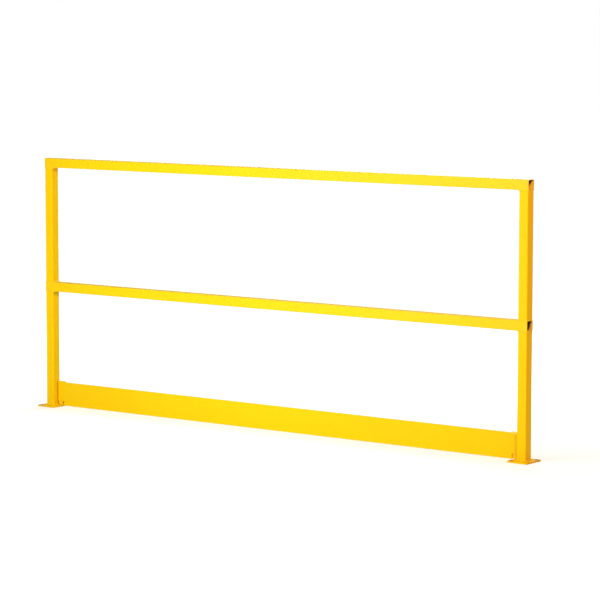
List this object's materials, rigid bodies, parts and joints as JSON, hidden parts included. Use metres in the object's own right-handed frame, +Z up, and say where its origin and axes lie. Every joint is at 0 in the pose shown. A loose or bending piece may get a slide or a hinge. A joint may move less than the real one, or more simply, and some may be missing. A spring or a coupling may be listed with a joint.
{
  "type": "industrial guard rail",
  "caption": "Welded square tube guard rail section with a mid rail, a toe board on clips and drilled base plates, painted safety yellow.",
  "frame": {"origin": "on the floor under the middle of the rail, at the centre of the box round the part", "axes": "+X along the rails, the front with the flush tube faces towards -Y and the toe board behind the posts' centre line, +Z up"},
  "size_m": [2.4856, 0.1016, 1.0668],
  "materials": {
    "yellow_paint": "smooth semi-gloss powder coat",
    "painted_weld": "semi-gloss powder coat over a rippled weld bead"
  },
  "bodies": {
    "root": {"top_rail": "yellow_paint", "mid_rail": "yellow_paint", "toe_board": "yellow_paint", "left_base_plate": "yellow_paint", "left_lower_post": "yellow_paint", "left_upper_post": "yellow_paint", "left_toe_clip": "yellow_paint", "left_foot_weld": "painted_weld", "left_mid_lower_weld": "painted_weld", "left_mid_upper_weld": "painted_weld", "left_top_weld": "painted_weld", "left_clip_weld": "painted_weld", "left_lap_weld": "painted_weld", "left_stitch_weld": "painted_weld", "right_base_plate": "yellow_paint", "right_lower_post": "yellow_paint", "right_upper_post": "yellow_paint", "right_toe_clip": "yellow_paint", "right_foot_weld": "painted_weld", "right_mid_lower_weld": "painted_weld", "right_mid_upper_weld": "painted_weld", "right_top_weld": "painted_weld", "right_clip_weld": "painted_weld", "right_lap_weld": "painted_weld", "right_stitch_weld": "painted_weld"}
  },
  "joints": []
}
